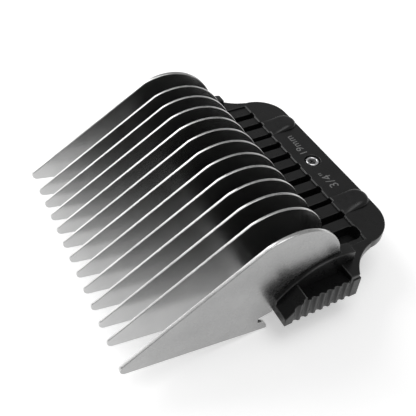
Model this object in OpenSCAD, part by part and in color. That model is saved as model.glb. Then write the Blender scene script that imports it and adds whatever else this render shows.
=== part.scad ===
// Clip-on clipper guard comb with stainless tines, a moulded body and a sprung latch slide.
// All sizes are in millimetres. Inside the modules Y runs rearward from the tine tips and Z up
// from the seat plane that the clipper blade's flat face bears on. in_row_frame() then moves the
// whole part so that the origin is the middle of the bounding box's bottom face.

/* [Tines] */
// Thickness of each of the eleven inner tines
tine_t = 0.5; // [0.4:0.05:0.6]
// Thickness of each of the two outer tines
outer_t = 0.8; // [0.7:0.05:0.9]
// Distance between the eleven inner tines
tine_pitch = 3.95; // [3.9:0.01:3.98]
// Distance from the middle tine to each outer tine
outer_x = 25.3; // [25.1:0.05:25.5]
// Slope of the long skin edge, in degrees
skin_angle = 31.7; // [31:0.1:32.5]
// Radius of each tine's blunt tip
tip_r = 1.2; // [1.1:0.05:1.2]

/* [Body] */
// Thickness of the rear plate
plate_t = 2; // [1.8:0.1:2.2]
// Height of the two spring bosses above the plate
boss_h = 0.9; // [0.8:0.1:1.2]
// Number of upright grooves in each side grip
grip_grooves = 8; // [6:1:8]
// Depth of the grooves behind the tines
groove_depth = 2.6; // [1.5:0.1:2.8]

/* [Latch] */
// How far the latch slide moves back
travel = 2.5; // [1.5:0.1:2.5]
// Wire diameter of the two springs
wire_d = 0.4; // [0.3:0.05:0.4]
// Turns in each spring
spring_turns = 5; // [4:0.5:5]

/* [Hidden] */

// Round surfaces
$fn = 64;
// A cut runs past the solid by this much
past = 1;

// Tine profile, as [y, z]
tip_c = [1.2, 1.75];
heel_angle = 12.5;
hook_y = 28.25;
hook_z = -4.85;
nose_c = [25.5, -4.6];
nose_r = 2.75;
notch = [26.1, -0.7];
crest_y = 30.75;
crest_z = 19.45;
crest_front_r = 12.3;
crest_rear_r = 11.5;
crest_front_c = [crest_y, crest_z - crest_front_r];
crest_rear_c = [crest_y, crest_z - crest_rear_r];
tine_rear_y = crest_y + crest_rear_r;
kink_y = 25.9;
kink_z = crest_front_c[1] + sqrt(crest_front_r ^ 2 - (crest_y - kink_y) ^ 2);
foot_z = 0.9;
window_r = 1.2;
window_y = [33, 40];
window_z = 3.2;

// Body
bar_front_y = 29;
bar_rear_y = 44;
bar_half_w = outer_x - outer_t / 2;
band_top = 6.2;
band_half_w = 23.3;
band_floor = 2.8;
step_y = 50.8;
step_slope = 0.36;
step_drop = 0.16;
plate_top = 6.6;
plate_bottom = plate_top - plate_t;
plate_rear_y = 58.3;
corner_r = 7;
corner_x = 17.4;
waist_c = [34.3, 53.3];
waist_r = 10;
flange_x = 29.6;
flange_y = 42.6;
band_rear_y = step_y + 0.3;
slot_w = 1.6;
slot_end_y = step_y + 0.1;
slot_corner = 0.5;
// How far each groove's outer side is moved, from the middle tine outward
slot_trim = [0, 0, 0, -0.4, 0, 0];
last_slot_trim = 1.7;
last_slot_corner = 1.3;

// End cheeks and side grips
cheek_t = 0.8;
cheek_c = [41.06, -6.39];
cheek_r = 16.05;
cheek_rear_y = 45.2;
cheek_wrap = 0.8;
grip_in_x = 27.2;
grip_out_x = 29.8;
grip_rear_y = 44.9;
grip_bottom = 0.6;
grip_top = 6.3;
grip_ramp_y = 32.8;
grip_front_z = 2.5;
grip_under_flange = 5.5;
scoop_in_z = 4.9;
scoop_out_z = 5.9;
grip_groove_pitch = 1.65;
grip_groove_r = 0.6;
grip_groove_depth = 0.35;

// Spring bosses and springs
boss_x = 13.7;
boss_r = 2.6;
boss_ramp = 4.6;
channel_r = 1.7;
channel_front_y = 51.1;
channel_rear_y = 57.1;
spring_z = 4.7;
spring_r = 1.3;
ear_t = 0.9;
ear_r = 1.45;
ear_front_y = 51.4;

// Latch slide
guide_in_x = 18;
guide_out_x = 20.3;
guide_rear_y = 57;
guide_lip = 0.8;
guide_lip_top = 0.6;
gap = 0.3;
slide_bottom = 0.4;
slide_front_y = 44.4;
slide_rear_y = 57.6;
catch_half_w = 14;
catch_in_y = 59.1;
catch_out_y = 60.3;
catch_tip_y = 57.95;
catch_top_z = -2.6;
trough_rear_y = 57.4;

// Centre screw, sleeve and nut
screw_y = 54.3;
recess_r = 1.8;
recess_z = 5.75;
head_r = 1.45;
head_h = 0.75;
dome_r = 4;
shank_r = 0.95;
sleeve_r = 1.7;
sleeve_bore_r = 1;
nut_flange_r = 3;
nut_bottom = 0.35;
nut_top = 1.05;
cross_w = 0.5;
cross_l = 1.9;
cross_depth = 0.5;

// Row frame
mid_y = catch_out_y / 2;

module in_row_frame() {
    translate([0, -mid_y, -hook_z]) children();
}

// Turns a [y, z] outline into a sheet that reaches from x to x + width
module sheet(x, width) {
    translate([x, 0, 0]) rotate([90, 0, 90]) linear_extrude(width) children();
}

// A box from its low corner to its high corner
module box(low, high) {
    translate(low) cube(high - low);
}

module mirrored() {
    children();
    mirror([1, 0, 0]) children();
}

function skin_point() = tip_c + tip_r * [-sin(skin_angle), cos(skin_angle)];
function heel_point() = tip_c + tip_r * [-sin(heel_angle), -cos(heel_angle)];

module tine_outline() {
    difference() {
        union() {
            translate(tip_c) circle(tip_r);
            polygon([
                heel_point(), [hook_y, hook_z], [bar_front_y, 0], [bar_front_y, foot_z],
                [tine_rear_y, foot_z], [tine_rear_y, crest_rear_c[1]],
                [crest_y, crest_rear_c[1]], [kink_y, kink_z], skin_point()
            ]);
            intersection() {
                translate(crest_front_c) circle(crest_front_r);
                translate([kink_y, crest_rear_c[1] - past])
                    square([crest_y - kink_y, crest_front_r + past]);
            }
            intersection() {
                translate(crest_rear_c) circle(crest_rear_r);
                translate([crest_y, crest_rear_c[1] - past])
                    square([crest_rear_r + past, crest_rear_r + 2 * past]);
            }
        }
        difference() {
            polygon([
                notch, [bar_front_y + past, 0.01], [bar_front_y + past, hook_z - past],
                [notch[0], hook_z - past]
            ]);
            translate(nose_c) circle(nose_r);
        }
        foot_windows();
    }
}

module foot_windows() {
    for (y = window_y) translate([y, window_z]) circle(window_r);
}

// Middle of the tine with index 1 to 13
function tine_x(i) =
    let (k = i - 7)
    abs(k) == 6 ? sign(k) * outer_x : k * tine_pitch;

function tine_width(i) = abs(i - 7) == 6 ? outer_t : tine_t;

module tine(i) {
    color("silver") in_row_frame()
        sheet(tine_x(i) - tine_width(i) / 2, tine_width(i)) tine_outline();
}

// The slit that the moulding leaves for a tine's foot, with the plugs that fill its windows
module tine_slit(i) {
    sheet(tine_x(i) - tine_width(i) / 2, tine_width(i)) difference() {
        translate([bar_front_y - past, foot_z])
            square([tine_rear_y - bar_front_y + past, crest_rear_r]);
        foot_windows();
    }
}

// Open groove from x = low to x = high behind a tine, with round corners at its rear end
module groove(low, high, corner) {
    corner_y = slot_end_y - corner;
    translate([0, 0, band_top - groove_depth]) linear_extrude(groove_depth + past) {
        translate([low, tine_rear_y - past]) square([high - low, corner_y - tine_rear_y + past]);
        translate([low + corner, corner_y]) square([high - low - 2 * corner, corner]);
        for (x = [low + corner, high - corner]) translate([x, corner_y]) circle(corner);
    }
}

// The grooves of one side. The last one at +X is wider than the others.
module groove_row(side) {
    for (k = [0 : 5]) {
        last = side > 0 && k == 5;
        middle = k * tine_pitch;
        trim = last ? last_slot_trim : slot_trim[k];
        mirror([side > 0 ? 0 : 1, 0, 0])
            groove(middle - slot_w / 2, middle + slot_w / 2 + trim, last ? last_slot_corner : slot_corner);
    }
}

module plate_outline() {
    difference() {
        union() {
            translate([-corner_x, flange_y]) square([2 * corner_x, plate_rear_y - flange_y]);
            translate([-flange_x, flange_y])
                square([2 * flange_x, plate_rear_y - corner_r - flange_y]);
            for (side = [-1, 1])
                translate([side * corner_x, plate_rear_y - corner_r]) circle(corner_r);
        }
        for (side = [-1, 1]) translate([side * waist_c[0], waist_c[1]]) circle(waist_r);
    }
}

// Raised housing of a spring: a long ramp that rises from the plate to a round rear end
module spring_boss() {
    boss_top = plate_top + boss_h;
    intersection() {
        translate([boss_x, 0, plate_bottom]) linear_extrude(plate_t + boss_h) {
            translate([-boss_r, step_y]) square([2 * boss_r, plate_rear_y - step_y - boss_r]);
            translate([0, plate_rear_y - boss_r]) circle(boss_r);
        }
        sheet(boss_x - boss_r, 2 * boss_r) polygon([
            [step_y, plate_bottom], [plate_rear_y, plate_bottom], [plate_rear_y, boss_top],
            [step_y + boss_ramp, boss_top], [step_y, plate_top]
        ]);
    }
}

// Inner cheek outline that covers the outer tine's foot
module cheek_outline() {
    intersection() {
        translate(cheek_c) circle(cheek_r);
        translate([bar_front_y - 0.2, grip_bottom])
            square([cheek_rear_y - bar_front_y + 0.2, cheek_r]);
    }
}

module end_cheek() {
    tine_face = outer_x + outer_t / 2;
    sheet(tine_face, cheek_t) cheek_outline();
    // The cheek wraps round the rear of the outer tine
    intersection() {
        sheet(bar_half_w - cheek_wrap, outer_t + cheek_wrap + past) cheek_outline();
        box([0, tine_rear_y, grip_bottom], [outer_x + past, cheek_rear_y, cheek_r]);
    }
}

// Side view of a grip: a ramp at the front and a lower rear end under the flange
module grip_outline() {
    polygon([
        [bar_front_y - 0.2, grip_bottom], [grip_rear_y, grip_bottom],
        [grip_rear_y, grip_under_flange], [flange_y - 0.2, grip_under_flange],
        [flange_y - 0.2, grip_top], [grip_ramp_y, grip_top], [bar_front_y - 0.2, grip_front_z]
    ]);
}

module side_grip() {
    cheek_face = outer_x + outer_t / 2 + cheek_t;
    first_groove_y = (bar_front_y - 0.2 + grip_rear_y - (grip_grooves - 1) * grip_groove_pitch) / 2;
    difference() {
        sheet(cheek_face - 0.1, grip_out_x - cheek_face + 0.1) grip_outline();
        for (i = [0 : grip_grooves - 1])
            translate([
                grip_out_x + grip_groove_r - grip_groove_depth,
                first_groove_y + grip_groove_pitch * i, 0
            ])
                cylinder(h = grip_top + past, r = grip_groove_r);
        // The top is hollowed between the ramp and the flange, and falls toward the cheek
        translate([0, flange_y, 0]) rotate([90, 0, 0]) linear_extrude(flange_y - grip_ramp_y - 0.3)
            polygon([
                [cheek_face, scoop_in_z], [grip_out_x + past, scoop_out_z],
                [grip_out_x + past, grip_top + past], [cheek_face, grip_top + past]
            ]);
    }
}

module comb_body_solid() {
    difference() {
        union() {
            box([-bar_half_w, bar_front_y, 0], [bar_half_w, bar_rear_y, band_top]);
            box([-band_half_w, bar_rear_y - past, band_floor], [band_half_w, step_y, band_top]);
            box([-band_half_w, step_y - past, band_floor], [band_half_w, band_rear_y, plate_bottom + past]);
            difference() {
                translate([0, 0, plate_bottom]) linear_extrude(plate_t) plate_outline();
                // The tine bars lie a little lower than the plate, whose front edge slopes
                sheet(-band_half_w, 2 * band_half_w) polygon([
                    [flange_y - past, band_top], [step_y - step_slope, band_top],
                    [step_y - step_slope, plate_top - step_drop], [step_y, plate_top],
                    [step_y, plate_top + past], [flange_y - past, plate_top + past]
                ]);
                // Room for the two outer tines and their cheeks in front of the flange
                mirrored() box(
                    [bar_half_w, flange_y - past, plate_bottom - past],
                    [grip_in_x, tine_rear_y, plate_top + past]
                );
            }
            mirrored() {
                spring_boss();
                box([guide_in_x, bar_rear_y - past, 0], [guide_out_x, guide_rear_y, plate_bottom + past / 2]);
                box(
                    [guide_in_x - guide_lip, bar_rear_y - past, 0],
                    [guide_in_x + past, guide_rear_y, guide_lip_top]
                );
                end_cheek();
                side_grip();
            }
        }
        for (i = [1 : 13]) tine_slit(i);
        for (side = [-1, 1]) groove_row(side);
        mirrored() translate([boss_x, channel_front_y, spring_z]) rotate([-90, 0, 0])
            cylinder(h = channel_rear_y - channel_front_y, r = channel_r);
        translate([0, screw_y, recess_z]) cylinder(h = plate_t, r = recess_r);
        translate([0, screw_y, plate_bottom - past]) cylinder(h = plate_t + 2 * past, r = shank_r + 0.05);
    }
}

module comb_body() {
    color("dimgray") in_row_frame() comb_body_solid();
}

// Side view of the latch slide: thin tongue, thick rear and the catch that hooks the blade
module slide_outline() {
    polygon([
        [slide_front_y, slide_bottom], [slide_front_y, band_floor - gap],
        [band_rear_y + gap, band_floor - gap], [band_rear_y + gap, plate_bottom - gap],
        [catch_out_y - 0.5, plate_bottom - 2 * gap], [catch_out_y, plate_bottom - 4 * gap],
        [catch_out_y, hook_z], [catch_tip_y + 0.9, hook_z],
        [catch_tip_y, catch_top_z - 0.8], [catch_tip_y, catch_top_z],
        [catch_in_y, catch_top_z + 0.2], [catch_in_y, slide_bottom]
    ]);
}

// A slot along Y with round ends: the space a round pin of radius r needs over the travel
module travel_slot(r, z, h) {
    translate([0, screw_y, z]) linear_extrude(h) {
        circle(r);
        translate([-r, -travel]) square([2 * r, travel]);
        translate([0, -travel]) circle(r);
    }
}

module latch_slide_solid() {
    difference() {
        intersection() {
            sheet(-guide_in_x + gap, 2 * (guide_in_x - gap)) slide_outline();
            union() {
                // Full width above the guide lips, narrower between them, narrower again behind
                box(
                    [-guide_in_x, slide_front_y - past, guide_lip_top + gap],
                    [guide_in_x, slide_rear_y, plate_top]
                );
                box(
                    [gap + guide_lip - guide_in_x, slide_front_y - past, 0],
                    [guide_in_x - guide_lip - gap, slide_rear_y, plate_top]
                );
                box(
                    [-catch_half_w, slide_rear_y - past, hook_z - past],
                    [catch_half_w, catch_out_y + past, plate_top]
                );
            }
        }
        travel_slot(sleeve_r + 0.15, 0, plate_top);
        travel_slot(nut_flange_r + gap, -past, nut_top + gap + past);
        mirrored() translate([boss_x, ear_front_y + ear_t, spring_z]) rotate([-90, 0, 0])
            cylinder(h = trough_rear_y - ear_front_y - ear_t, r = channel_r);
    }
    // The ears that push on the springs
    mirrored() {
        translate([boss_x, ear_front_y, spring_z]) rotate([-90, 0, 0]) cylinder(h = ear_t, r = ear_r);
        box(
            [boss_x - ear_r, ear_front_y, plate_bottom - gap - 0.5],
            [boss_x + ear_r, ear_front_y + ear_t, spring_z]
        );
    }
}

module latch_slide() {
    color("slategray") in_row_frame() latch_slide_solid();
}

// Points of a coil spring along Y, swept with a six-sided wire
function coil_centre(t, length) =
    let (a = 360 * spring_turns * t)
    [spring_r * cos(a), wire_d / 2 + (length - wire_d) * t, spring_r * sin(a)];

function coil_ring(t, length, sides) =
    let (a = 360 * spring_turns * t, c = coil_centre(t, length))
    [for (s = [0 : sides - 1])
        let (b = 360 * s / sides)
        c + wire_d / 2 * [cos(b) * cos(a), sin(b), cos(b) * sin(a)]];

module coil_spring(length) {
    sides = 8;
    rings = round(spring_turns * 20);
    points = [for (i = [0 : rings]) each coil_ring(i / rings, length, sides)];
    walls = [for (i = [0 : rings - 1], s = [0 : sides - 1])
        let (n = (s + 1) % sides)
        [i * sides + s, i * sides + n, (i + 1) * sides + n, (i + 1) * sides + s]];
    front = [for (s = [0 : sides - 1]) sides - 1 - s];
    back = [for (s = [0 : sides - 1]) rings * sides + s];
    polyhedron(points, concat(walls, [front, back]), convexity = 8);
}

module spring_at(side) {
    start = ear_front_y + ear_t;
    color("gainsboro") in_row_frame()
        translate([side * boss_x, start, spring_z]) coil_spring(channel_rear_y - start);
}

module slide_screw() {
    color("white") in_row_frame() translate([0, screw_y, 0]) {
        difference() {
            intersection() {
                translate([0, 0, recess_z]) cylinder(h = head_h, r = head_r);
                translate([0, 0, recess_z + head_h - dome_r]) sphere(dome_r);
            }
            for (turn = [0, 90])
                rotate([0, 0, turn]) translate([-cross_l / 2, -cross_w / 2, recess_z + head_h - cross_depth])
                    cube([cross_l, cross_w, past]);
        }
        translate([0, 0, nut_bottom + 0.1]) cylinder(h = recess_z - nut_bottom - 0.1, r = shank_r);
    }
}

module guide_sleeve() {
    color("gold") in_row_frame() translate([0, screw_y, nut_top]) difference() {
        cylinder(h = plate_bottom - nut_top, r = sleeve_r);
        translate([0, 0, -past]) cylinder(h = plate_bottom, r = sleeve_bore_r);
    }
}

module keeper_nut() {
    color("khaki") in_row_frame() translate([0, screw_y, nut_bottom]) difference() {
        cylinder(h = nut_top - nut_bottom, r = nut_flange_r);
        translate([0, 0, -past]) cylinder(h = nut_top + 2 * past, r = shank_r);
        // Two notches for the tool that holds the nut
        mirrored() translate([nut_flange_r, 0, -past]) cylinder(h = nut_top + 2 * past, r = 0.6);
    }
}

comb_body();
tine(1);  // tine_01
tine(2);  // tine_02
tine(3);  // tine_03
tine(4);  // tine_04
tine(5);  // tine_05
tine(6);  // tine_06
tine(7);  // tine_07
tine(8);  // tine_08
tine(9);  // tine_09
tine(10);  // tine_10
tine(11);  // tine_11
tine(12);  // tine_12
tine(13);  // tine_13
latch_slide();
spring_at(-1);  // spring_left
spring_at(1);  // spring_right
slide_screw();
guide_sleeve();
keeper_nut();
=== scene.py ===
"""Looks of the clipper guard comb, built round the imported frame. Metres, row frame, +Z up."""
import math

import bmesh
import bpy
from mathutils import Matrix, Vector


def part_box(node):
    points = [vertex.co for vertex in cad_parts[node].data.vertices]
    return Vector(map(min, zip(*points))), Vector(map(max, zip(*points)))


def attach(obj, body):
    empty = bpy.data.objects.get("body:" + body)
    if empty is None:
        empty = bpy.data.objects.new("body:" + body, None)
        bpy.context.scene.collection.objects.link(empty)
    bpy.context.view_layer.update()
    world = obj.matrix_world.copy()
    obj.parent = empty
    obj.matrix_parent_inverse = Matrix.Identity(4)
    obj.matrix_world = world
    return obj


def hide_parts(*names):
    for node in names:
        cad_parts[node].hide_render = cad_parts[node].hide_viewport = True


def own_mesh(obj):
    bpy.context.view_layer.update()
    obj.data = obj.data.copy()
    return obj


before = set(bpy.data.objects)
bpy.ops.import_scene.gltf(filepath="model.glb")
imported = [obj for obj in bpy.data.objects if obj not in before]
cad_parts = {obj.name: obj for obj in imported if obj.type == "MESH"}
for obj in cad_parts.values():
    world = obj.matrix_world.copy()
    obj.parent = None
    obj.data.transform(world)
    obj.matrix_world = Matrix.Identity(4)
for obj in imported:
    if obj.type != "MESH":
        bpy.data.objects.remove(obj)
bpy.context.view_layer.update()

MM = 0.001
# The sizes below run from the tine tips rearward (Y) and from the blade's seat plane up (Z), as in the CAD
DATUM = Vector((0, -30.15, 4.85))


def place(x, y, z):
    """Row-frame point, in metres, of a point given in the CAD's construction datum, in millimetres."""
    return (Vector((x, y, z)) + DATUM) * MM


# ---------------------------------------------------------------- materials

def new_material(name):
    material = bpy.data.materials.new(name)
    material.use_nodes = True
    nodes = material.node_tree.nodes
    return material, nodes, material.node_tree.links, nodes["Principled BSDF"]


def noise(nodes, links, feature_mm, stretch=(1, 1, 1), detail=4.0, turn=(0, 0, 0)):
    """Noise in object space whose features are about feature_mm wide, longer along a stretched axis."""
    coords = nodes.new("ShaderNodeTexCoord")
    mapping = nodes.new("ShaderNodeMapping")
    mapping.inputs["Rotation"].default_value = turn
    mapping.inputs["Scale"].default_value = [1 / s for s in stretch]
    links.new(coords.outputs["Object"], mapping.inputs["Vector"])
    texture = nodes.new("ShaderNodeTexNoise")
    texture.inputs["Scale"].default_value = 1 / (feature_mm * MM)
    texture.inputs["Detail"].default_value = detail
    links.new(mapping.outputs["Vector"], texture.inputs["Vector"])
    return texture.outputs["Fac"]


def spread(nodes, links, value, low, high, start=0.3, end=0.7):
    """Maps noise between start and end on to low to high."""
    ramp = nodes.new("ShaderNodeMapRange")
    ramp.inputs["From Min"].default_value = start
    ramp.inputs["From Max"].default_value = end
    ramp.inputs["To Min"].default_value = low
    ramp.inputs["To Max"].default_value = high
    links.new(value, ramp.inputs["Value"])
    return ramp.outputs["Result"]


def mixed(nodes, links, factor, first, second):
    mix = nodes.new("ShaderNodeMix")
    mix.data_type = "RGBA"
    links.new(factor, mix.inputs["Factor"])
    for socket, colour in ((mix.inputs[6], first), (mix.inputs[7], second)):
        if isinstance(colour, bpy.types.NodeSocket):
            links.new(colour, socket)
        else:
            socket.default_value = (*colour, 1)
    return mix.outputs[2]


def bump(nodes, links, height, distance_mm, strength, previous=None):
    node = nodes.new("ShaderNodeBump")
    node.inputs["Distance"].default_value = distance_mm * MM
    node.inputs["Strength"].default_value = strength
    links.new(height, node.inputs["Height"])
    if previous is not None:
        links.new(previous, node.inputs["Normal"])
    return node.outputs["Normal"]


def plastic(name, dark, light, rough_low, rough_high, cloud_mm=5):
    """Satin moulding: soft clouds of colour and sheen, a fine grain and slow flow waves."""
    material, nodes, links, shader = new_material(name)
    cloud = noise(nodes, links, feature_mm=cloud_mm, detail=5)
    links.new(
        mixed(nodes, links, spread(nodes, links, cloud, 0, 1), dark, light),
        shader.inputs["Base Color"],
    )
    sheen = noise(nodes, links, feature_mm=1.2, detail=6)
    links.new(spread(nodes, links, sheen, rough_low, rough_high), shader.inputs["Roughness"])
    shader.inputs["Specular IOR Level"].default_value = 0.4
    spark = noise(nodes, links, feature_mm=0.16, detail=3)
    grain = bump(nodes, links, spark, distance_mm=0.012, strength=0.5)
    wave = noise(nodes, links, feature_mm=3.5, detail=2)
    flow = bump(nodes, links, wave, distance_mm=0.05, strength=0.12, previous=grain)
    links.new(flow, shader.inputs["Normal"])
    return material


def rolled_steel(name, dark, light, rough_low, rough_high, stretch, turn=(0, 0, 0), depth=0.3):
    """Satin stainless: a fine directional grain, slow clouds of colour and a few smeared marks."""
    material, nodes, links, shader = new_material(name)
    shader.inputs["Metallic"].default_value = 1
    cloud = noise(nodes, links, feature_mm=6, detail=4)
    links.new(
        mixed(nodes, links, spread(nodes, links, cloud, 0, 1), dark, light),
        shader.inputs["Base Color"],
    )
    grain = noise(nodes, links, feature_mm=0.07, stretch=stretch, detail=3, turn=turn)
    smears = noise(nodes, links, feature_mm=2.2, detail=6)
    rough = nodes.new("ShaderNodeMath")
    rough.operation = "ADD"
    half_low, half_high = rough_low / 2, rough_high / 2
    links.new(spread(nodes, links, grain, half_low, half_high), rough.inputs[0])
    links.new(spread(nodes, links, smears, half_low, half_high), rough.inputs[1])
    links.new(rough.outputs[0], shader.inputs["Roughness"])
    links.new(bump(nodes, links, grain, distance_mm=0.004, strength=depth), shader.inputs["Normal"])
    return material


SKIN_ANGLE = 31.7
SKIN_TURN = (math.radians(-SKIN_ANGLE), 0, 0)
body_plastic = plastic("body_plastic_look", (0.0042, 0.0042, 0.0044), (0.0066, 0.0066, 0.0068), 0.25, 0.35)
# The rounded edges of the body are painted lighter plastic: a painted highlight
body_edge_painted_highlight = plastic("body_edge_painted_highlight_look", (0.012, 0.012, 0.012), (0.04, 0.04, 0.04), 0.2, 0.3, 1.2)
slide_plastic = plastic("slide_plastic_look", (0.007, 0.007, 0.0075), (0.011, 0.011, 0.0115), 0.28, 0.4)
# The rounded edges of the slide are painted lighter plastic: a painted highlight
slide_edge_painted_highlight = plastic("slide_edge_painted_highlight_look", (0.012, 0.012, 0.012), (0.045, 0.045, 0.045), 0.24, 0.34, 1.2)
tine_face = rolled_steel("tine_face_look", (0.52, 0.52, 0.52), (0.57, 0.57, 0.568), 0.2, 0.25,
                         (1, 14, 1), SKIN_TURN, 0.15)
# The outward faces of the two outer tines are painted darker steel: a painted dark reflection
outer_face_painted_reflection = rolled_steel("outer_face_painted_reflection_look", (0.37, 0.37, 0.37), (0.42, 0.42, 0.418), 0.24, 0.3,
                          (1, 14, 1), SKIN_TURN, 0.2)
# The tines' rounded edges are painted lighter steel: a painted highlight
tine_edge_painted_highlight = rolled_steel("tine_edge_painted_highlight_look", (0.5, 0.5, 0.498), (0.7, 0.7, 0.695), 0.22, 0.34,
                         (1, 20, 20), SKIN_TURN, 0.5)
screw_chrome = rolled_steel("screw_chrome_look", (0.72, 0.72, 0.73), (0.82, 0.82, 0.83), 0.1, 0.2,
                            (6, 1, 1), depth=0.2)
# The screw head's dish is painted dark steel: a painted dark reflection
screw_dish_painted_reflection = rolled_steel("screw_dish_painted_reflection_look", (0.1, 0.1, 0.1), (0.28, 0.28, 0.28), 0.24, 0.4, (1, 1, 1))
spring_steel = rolled_steel("spring_steel_look", (0.4, 0.4, 0.41), (0.52, 0.52, 0.52), 0.22, 0.36,
                            (1, 1, 1))
fitting_steel = rolled_steel("fitting_steel_look", (0.48, 0.48, 0.47), (0.6, 0.6, 0.59), 0.26, 0.4,
                             (1, 1, 1))


def print_ink():
    material, nodes, links, shader = new_material("size_print_look")
    speckle = noise(nodes, links, feature_mm=0.12, detail=4)
    links.new(
        mixed(nodes, links, spread(nodes, links, speckle, 0, 1, 0.35, 0.6),
              (0.1, 0.1, 0.1), (0.2, 0.2, 0.2)),
        shader.inputs["Base Color"],
    )
    shader.inputs["Roughness"].default_value = 0.6
    return material


size_ink = print_ink()


# ---------------------------------------------------------------- pieces from the CAD's own shapes

WELD_MM = 0.0005
PAINTED_HIGHLIGHT_SLOT = 1  # index of the look for rounded edges, which carries their painted highlight
SHARP = math.radians(28)
FLAT = math.radians(0.4)
CREASE = math.radians(50)
SCREW_CREASE = math.radians(32)


def linked(name, mesh_data):
    """Puts a bmesh in the scene."""
    mesh = bpy.data.meshes.new(name)
    mesh_data.to_mesh(mesh)
    mesh_data.free()
    piece = bpy.data.objects.new(name, mesh)
    bpy.context.scene.collection.objects.link(piece)
    return piece


def weld(mesh_data):
    bmesh.ops.remove_doubles(mesh_data, verts=mesh_data.verts, dist=WELD_MM * MM)


def finished(name, mesh_data, materials, body, slot, *replaced, smooth=True):
    """Puts a finished bmesh in the scene as a piece that rides on a body."""
    piece = linked(name, mesh_data)
    for material in materials:
        piece.data.materials.append(material)
    if smooth:
        piece.data.polygons.foreach_set("use_smooth", [True] * len(piece.data.polygons))
    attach(piece, body)
    if replaced:
        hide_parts(*replaced)
    return piece


def weighted(piece):
    """Keeps flat faces flat beside their rounded edges."""
    modifier = piece.modifiers.new("face_normals", "WEIGHTED_NORMAL")
    modifier.keep_sharp = True
    modifier.weight = 100
    return piece


def cad_copy(node):
    """The node's shape as one closed bmesh. Its "flat" layer marks the faces that are shaded flat."""
    mesh = bmesh.new()
    mesh.from_mesh(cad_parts[node].data)
    weld(mesh)
    layer = mesh.faces.layers.int.new("flat")
    for face in mesh.faces:
        turns = [e.calc_face_angle(0) for e in face.edges]
        face[layer] = all(turn < FLAT or turn > SHARP for turn in turns)
    return mesh


def round_edges(mesh, edges, width_mm, segments):
    """Bevels the edges and gives them the edge look, which on the plastic and the tines is lighter: a painted
    highlight.
    """
    layer = mesh.faces.layers.int.get("flat")
    result = bmesh.ops.bevel(
        mesh, geom=edges, offset=width_mm * MM, offset_type="OFFSET", segments=segments,
        profile=0.5, affect="EDGES", clamp_overlap=False,
    )
    for face in result["faces"]:
        face[layer] = 0
        face.material_index = PAINTED_HIGHLIGHT_SLOT


def soften(mesh, width_mm, segments):
    """Rounds the convex edges, as a mould or a tumbler leaves them."""
    edges = [e for e in mesh.edges if len(e.link_faces) == 2 and e.is_convex and e.calc_face_angle() > SHARP]
    round_edges(mesh, edges, width_mm, segments)
    layer = mesh.faces.layers.int.get("flat")
    for face in mesh.faces:
        face.smooth = not face[layer]
    for edge in mesh.edges:
        if len(edge.link_faces) == 2 and edge.calc_face_angle() > CREASE:
            edge.smooth = False
    return mesh


def softened(node, name, body, slot, materials, width_mm, segments):
    mesh = soften(cad_copy(node), width_mm, segments)
    return weighted(finished(name, mesh, materials, body, slot, node, smooth=False))


PLATE_TOP, PLATE_REAR_Y = 6.6, 58.3
STEP_Y = 50.8
BOSS_X, BOSS_R, BOSS_H = 13.7, 2.6, 0.9
BOSS_RAMP = 4.6
BOSS_SHOULDER = 1.3
BOSS_LIP = 0.03
BOSS_ROOT = 0.2
GRIP_IN_X = 29
BODY_ROUND, TINE_ROUND, OUTER_TINE_ROUND = 0.13, 0.09, 0.16
LEVEL = 0.9999


def flatten_bosses(mesh):
    """Lowers the CAD's two plain spring housings to the plate, to make room for the rounded ones."""
    margin = 0.1
    for vert in mesh.verts:
        p = vert.co / MM - DATUM
        across = abs(abs(p.x) - BOSS_X)
        if across < BOSS_R + margin and p.y > STEP_Y - margin and p.z > PLATE_TOP:
            vert.co.z = place(0, 0, PLATE_TOP).z


def boss_height(y):
    """Height of a boss over the plate, in mm."""
    return BOSS_LIP + BOSS_H * min(1, (y - STEP_Y) / BOSS_RAMP)


def add_boss(mesh, side):
    """A spring housing that rises from the plate's front step to a round rear end, with soft shoulders."""
    straight, arc, rounds = 10, 18, 9
    end_y = PLATE_REAR_Y - BOSS_R
    outline = [(1, STEP_Y + (end_y - STEP_Y) * i / straight, 0) for i in range(straight)]
    outline += [(math.cos(math.pi * i / arc), end_y, math.sin(math.pi * i / arc)) for i in range(arc + 1)]
    outline += [(-1, STEP_Y + (end_y - STEP_Y) * i / straight, 0) for i in reversed(range(straight))]
    loops = []
    for k in range(-1, rounds + 1):
        turn = math.pi / 2 * max(k, 0) / rounds
        loop = []
        for across, y, along in outline:
            rear_y = y + along * BOSS_R
            high = boss_height(rear_y)
            reach = BOSS_R - BOSS_SHOULDER * (1 - math.cos(turn))
            z = PLATE_TOP - BOSS_ROOT if k < 0 else PLATE_TOP + high * math.sin(turn)
            loop.append(mesh.verts.new(place(side * BOSS_X + across * reach, y + along * reach, z)))
        loops.append(loop)
    count = len(outline)
    faces = []
    for low, high in zip(loops, loops[1:]):
        for i in range(count):
            n = (i + 1) % count
            faces.append(mesh.faces.new((low[i], low[n], high[n], high[i])))
    for loop in (loops[0], loops[-1]):
        for i in range(count // 2):
            j = count - 1 - i
            corners = dict.fromkeys((loop[i], loop[i + 1], loop[j - 1], loop[j]))
            faces.append(mesh.faces.new(list(corners)))
    bmesh.ops.recalc_face_normals(mesh, faces=faces)
    for face in faces:
        face.smooth = True


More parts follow.
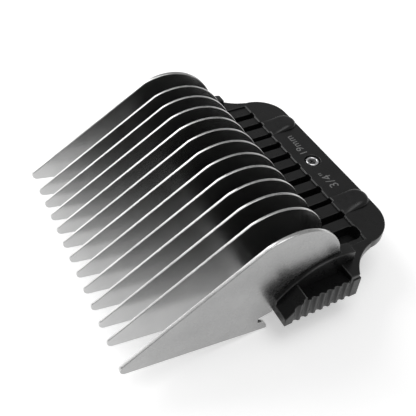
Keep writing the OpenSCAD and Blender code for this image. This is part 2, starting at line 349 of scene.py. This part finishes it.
def moulding():
    """The body, with rounded edges and with rounded spring bosses in place of the CAD's plain ones."""
    mesh = cad_copy("comb_body")
    layer = mesh.faces.layers.int.get("flat")
    for face in mesh.faces:
        if abs(face.normal.z) > LEVEL:
            face[layer] = 1
    soften(mesh, BODY_ROUND, 2)
    # The upright ridges of the grips keep the painted edge highlight only at their ends
    for face in mesh.faces:
        if abs(face.calc_center_median().x) > GRIP_IN_X * MM and abs(face.normal.z) < 0.3:
            face.material_index = 0
    flatten_bosses(mesh)
    add_boss(mesh, 1)
    add_boss(mesh, -1)
    return weighted(finished(
        "comb_body_moulding", mesh, [body_plastic, body_edge_painted_highlight], "comb", "body_plastic", "comb_body",
        smooth=False
    ))


moulding()
softened("latch_slide", "latch_slide_moulding", "latch", "slide_plastic",
         [slide_plastic, slide_edge_painted_highlight], width_mm=0.18, segments=3)
for node in ("guide_sleeve", "keeper_nut"):
    softened(node, node + "_turned", "comb", "fitting_steel",
             [fitting_steel] * 2, width_mm=0.12, segments=3)

OUTER_TINES = (1, 13)
for number in range(1, 14):
    node = f"tine_{number:02d}"
    outer = number in OUTER_TINES
    mesh = soften(cad_copy(node), OUTER_TINE_ROUND if outer else TINE_ROUND, 3)
    outward = (number > 7) - (number < 7)
    for face in mesh.faces:
        # Edge faces get the lighter steel, a painted highlight
        face.material_index = PAINTED_HIGHLIGHT_SLOT if abs(face.normal.x) < 0.8 else 0
        # The outer tines' outward faces get the darker steel, a painted dark reflection
        if face.material_index == 0 and outer and face.normal.x * outward > 0:
            face.material_index = 2
    looks = [tine_face, tine_edge_painted_highlight, outer_face_painted_reflection] if outer else [tine_face, tine_edge_painted_highlight]
    weighted(finished(f"{node}_blank", mesh, looks, "comb", "tine_steel", node, smooth=False))


# ---------------------------------------------------------------- centre screw

screw_low, screw_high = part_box("slide_screw")
SCREW_Y = (screw_low.y + screw_high.y) / 2 / MM - DATUM.y
HEAD_R = (screw_high.x - screw_low.x) / 2 / MM
HEAD_TOP = screw_high.z / MM - DATUM.z
HEAD_H = 0.75
HEAD_LOW = HEAD_TOP - HEAD_H
SHANK_R, SHANK_LOW = 0.95, screw_low.z / MM - DATUM.z
THREAD_PITCH, THREAD_DEPTH = 0.3, 0.1
DISH_DEPTH, RING_R, RING_H = 0.2, 0.22, 0.14


def lathe(profile, steps, centre):
    """Turns a list of (radius, height) points in mm round the vertical line through centre."""
    mesh = bmesh.new()
    rings = []
    for radius, height in profile:
        if radius == 0:
            rings.append([mesh.verts.new(place(centre[0], centre[1], height))])
        else:
            rings.append([
                mesh.verts.new(place(
                    centre[0] + radius * math.cos(2 * math.pi * s / steps),
                    centre[1] + radius * math.sin(2 * math.pi * s / steps), height))
                for s in range(steps)
            ])
    for low, high in zip(rings, rings[1:]):
        for s in range(steps):
            n = (s + 1) % steps
            corners = [low[s % len(low)], low[n % len(low)], high[n % len(high)], high[s % len(high)]]
            mesh.faces.new(list(dict.fromkeys(corners)))
    bmesh.ops.recalc_face_normals(mesh, faces=mesh.faces)
    return mesh


def subtract(piece, cutter):
    modifier = piece.modifiers.new("cut", "BOOLEAN")
    modifier.operation = "DIFFERENCE"
    modifier.solver = "EXACT"
    modifier.object = cutter
    bpy.context.view_layer.update()
    evaluated = piece.evaluated_get(bpy.context.evaluated_depsgraph_get())
    result = bpy.data.meshes.new_from_object(evaluated)
    piece.modifiers.remove(modifier)
    piece.data = result
    bpy.data.objects.remove(cutter)


def cross_cutter():
    """A cross-recess driver's point: four wings that narrow downward."""
    mesh = bmesh.new()
    turn = Matrix.Rotation(math.radians(20), 2)
    rings = []
    point = (HEAD_TOP - 0.62, 0.3, 0.11)
    mouth = (HEAD_TOP + 0.1, 0.95, 0.25)
    for height, wing, half_wide in (point, mouth):
        ring = []
        for quarter in range(4):
            spin = Matrix.Rotation(quarter * math.pi / 2, 2)
            for corner in ((wing, -half_wide), (wing, half_wide), (half_wide, half_wide)):
                p = turn @ spin @ Vector(corner)
                ring.append(mesh.verts.new(place(p.x, SCREW_Y + p.y, height)))
        rings.append(ring)
    low, high = rings
    mesh.faces.new(low[::-1])
    mesh.faces.new(high)
    for s in range(len(low)):
        n = (s + 1) % len(low)
        mesh.faces.new((low[s], low[n], high[n], high[s]))
    bmesh.ops.recalc_face_normals(mesh, faces=mesh.faces)
    return linked("cross_cutter", mesh)


def screw():
    """The centre screw: a dished head with a round rim, a cross recess and a turned thread."""
    dish_r, ring_low, ring_steps = HEAD_R - 0.5, HEAD_TOP - RING_H, 12
    dish_low = HEAD_TOP - DISH_DEPTH
    rim_gap, corner = 0.04, 0.06
    dome = [(0, dish_low), (dish_r * 0.5, dish_low), (dish_r, ring_low)]
    for step in range(1, ring_steps):
        a = math.pi * step / ring_steps
        dome.append((HEAD_R - rim_gap - RING_R * (1 + math.cos(a)), ring_low + RING_H * math.sin(a)))
    rim = [(HEAD_R, HEAD_TOP - RING_R), (HEAD_R, HEAD_LOW + corner), (HEAD_R - corner, HEAD_LOW)]
    root_r = SHANK_R - THREAD_DEPTH
    tip_r = SHANK_R - 0.25
    thread = [(SHANK_R, HEAD_LOW)]
    height = HEAD_LOW - 2 * THREAD_PITCH
    while height > SHANK_LOW + 0.5:
        thread += [(SHANK_R, height), (root_r, height - THREAD_PITCH / 2)]
        height -= THREAD_PITCH
    thread += [(root_r, SHANK_LOW + THREAD_DEPTH), (tip_r, SHANK_LOW), (0, SHANK_LOW)]
    piece = finished("slide_screw_turned", lathe(dome + rim + thread, 48, (0, SCREW_Y)),
                     [screw_chrome, screw_dish_painted_reflection], "comb", "screw_chrome", "slide_screw")
    subtract(piece, cross_cutter())
    mesh = bmesh.new()
    mesh.from_mesh(piece.data)
    # Faces inside the dish get the dark steel, a painted dark reflection
    for face in mesh.faces:
        p = face.calc_center_median() / MM - DATUM
        face.material_index = int(math.hypot(p.x, p.y - SCREW_Y) < dish_r and p.z > HEAD_LOW)
    for edge in mesh.edges:
        edge.smooth = len(edge.link_faces) != 2 or edge.calc_face_angle() < SCREW_CREASE
    mesh.to_mesh(piece.data)
    mesh.free()


screw()


# ---------------------------------------------------------------- springs

WIRE_R = 0.2
TURNS = 6.5
CLOSED_TURNS = 0.75
# A closed turn rises by this many wire radii
CLOSED_RISE = 1.7


def spring(name, node):
    """A coil with closed ends, pushed by the slide's ear at its front end."""
    low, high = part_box(node)
    wire = WIRE_R * MM
    steps, sides = 26, 10
    count = int(TURNS * steps)
    radius = (high.x - low.x) / 2 - wire
    middle = (low + high) / 2
    length = high.y - low.y - 2 * wire
    closed = CLOSED_TURNS / TURNS
    rise = CLOSED_RISE * wire / length
    mesh = bmesh.new()
    rings = []
    for i in range(count + 1):
        t = i / count
        along = (min(t, closed) + max(0, t + closed - 1)) / closed * rise
        along += (min(max(t, closed), 1 - closed) - closed) / (1 - 2 * closed) * (1 - 2 * rise)
        angle = 2 * math.pi * TURNS * t
        out = Vector((math.cos(angle), 0, math.sin(angle)))
        centre = Vector((middle.x, low.y + wire + length * along, middle.z)) + radius * out
        ring = []
        for s in range(sides):
            b = 2 * math.pi * s / sides
            ring.append(mesh.verts.new(centre + wire * (math.cos(b) * out + math.sin(b) * Vector((0, 1, 0)))))
        rings.append(ring)
    for a, b in zip(rings, rings[1:]):
        for s in range(sides):
            n = (s + 1) % sides
            mesh.faces.new((a[s], a[n], b[n], b[s]))
    mesh.faces.new(rings[0][::-1])
    mesh.faces.new(rings[-1])
    bmesh.ops.recalc_face_normals(mesh, faces=mesh.faces)
    piece = finished(name, mesh, [spring_steel], "comb", "spring_steel", node)
    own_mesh(piece)


spring("spring_left_coil", "spring_left")
spring("spring_right_coil", "spring_right")


# ---------------------------------------------------------------- size numerals on the plate

INK_T = 0.02
# Height of a capital letter as a share of the font's size
CAPITAL = 0.7


def size_print(text, name, centre, height_mm):
    """Printed numerals that read from +X to -X, with their tops toward the tines."""
    curve = bpy.data.curves.new(name + "_outline", "FONT")
    curve.body = text
    curve.align_x = "CENTER"
    curve.align_y = "CENTER"
    curve.size = height_mm / CAPITAL * MM
    curve.extrude = INK_T / 2 * MM
    curve.space_character = 1.08
    holder = bpy.data.objects.new(name + "_outline", curve)
    bpy.context.scene.collection.objects.link(holder)
    holder.matrix_world = Matrix.Translation(place(*centre, PLATE_TOP + INK_T / 2)) @ Matrix.Rotation(
        math.pi, 4, "Z"
    )
    bpy.context.view_layer.update()
    evaluated = holder.evaluated_get(bpy.context.evaluated_depsgraph_get())
    data = bpy.data.meshes.new_from_object(evaluated)
    data.transform(holder.matrix_world)
    bpy.data.objects.remove(holder)
    mesh = bmesh.new()
    mesh.from_mesh(data)
    weld(mesh)
    piece = finished(name, mesh, [size_ink], "comb", "body_plastic")
    piece.data.polygons.foreach_set("use_smooth", [False] * len(piece.data.polygons))


size_print('3/4"', "size_print_inch", centre=(6.55, 54.05), height_mm=2.05)
size_print("19mm", "size_print_metric", centre=(-5.8, 54.0), height_mm=1.85)


# ---------------------------------------------------------------- stage, light and camera

def floor():
    """A plain pale floor, 3 m square, which glows a little so that it reads as near white."""
    mesh = bmesh.new()
    half = 1.5
    corners = [mesh.verts.new((x * half, y * half, 0)) for x, y in ((-1, -1), (1, -1), (1, 1), (-1, 1))]
    mesh.faces.new(corners)
    piece = linked("studio_floor", mesh)
    material, nodes, links, shader = new_material("studio_floor_look")
    paper = noise(nodes, links, feature_mm=40, detail=5)
    links.new(
        mixed(nodes, links, spread(nodes, links, paper, 0, 1), (0.84, 0.84, 0.84), (0.88, 0.88, 0.88)),
        shader.inputs["Base Color"],
    )
    shader.inputs["Roughness"].default_value = 0.8
    shader.inputs["Emission Color"].default_value = (1, 1, 1, 1)
    shader.inputs["Emission Strength"].default_value = 0.42
    piece.data.materials.append(material)


floor()


def softbox(name, toward, distance, width, height, radiance):
    """An area light that faces the object from a direction, with a chosen brightness."""
    data = bpy.data.lights.new(name, "AREA")
    data.shape = "RECTANGLE"
    data.size = width
    data.size_y = height
    data.energy = radiance * math.pi * width * height
    lamp = bpy.data.objects.new(name, data)
    direction = Vector(toward).normalized()
    lamp.location = direction * distance
    lamp.rotation_euler = direction.to_track_quat("Z", "Y").to_euler()
    bpy.context.scene.collection.objects.link(lamp)


softbox("key_soft", toward=(-0.61, -0.27, 0.74), distance=0.55, width=0.24, height=0.24, radiance=4)
softbox("left_panel", toward=(-0.85, -0.45, 0.27), distance=0.5, width=0.6, height=0.36, radiance=1.5)
softbox("top_soft", toward=(0.1, 0.1, 1), distance=0.6, width=0.36, height=0.36, radiance=2.5)

world = bpy.data.worlds.new("studio_world")
world.use_nodes = True
background = world.node_tree.nodes["Background"]
background.inputs["Color"].default_value = (1, 1, 1, 1)
background.inputs["Strength"].default_value = 0.35
bpy.context.scene.world = world
bpy.context.scene.view_settings.view_transform = "Standard"

# Place in millimetres in the row frame, angles in degrees, lens in millimetres on a 36 mm sensor
CAMERA_PLACE = Vector((74.005, -43.205, 95.046))
CAMERA_AZIMUTH, CAMERA_ELEVATION, CAMERA_ROLL = 56.38, 42.31, 6.13
CAMERA_LENS = 51.38
CAMERA_SHIFT = -0.08


def camera():
    data = bpy.data.cameras.new("camera")
    data.lens = CAMERA_LENS
    data.sensor_width = 36
    data.shift_x = CAMERA_SHIFT
    data.shift_y = CAMERA_SHIFT
    data.clip_start = 0.005
    data.clip_end = 20
    piece = bpy.data.objects.new("camera", data)
    a, e = math.radians(CAMERA_AZIMUTH), math.radians(CAMERA_ELEVATION)
    back = Vector((math.sin(a) * math.cos(e), -math.cos(a) * math.cos(e), math.sin(e)))
    turn = (-back).to_track_quat("-Z", "Y").to_matrix().to_4x4()
    roll = Matrix.Rotation(math.radians(CAMERA_ROLL), 4, "Z")
    piece.matrix_world = Matrix.Translation(CAMERA_PLACE * MM) @ turn @ roll
    bpy.context.scene.collection.objects.link(piece)
    bpy.context.scene.camera = piece


camera()
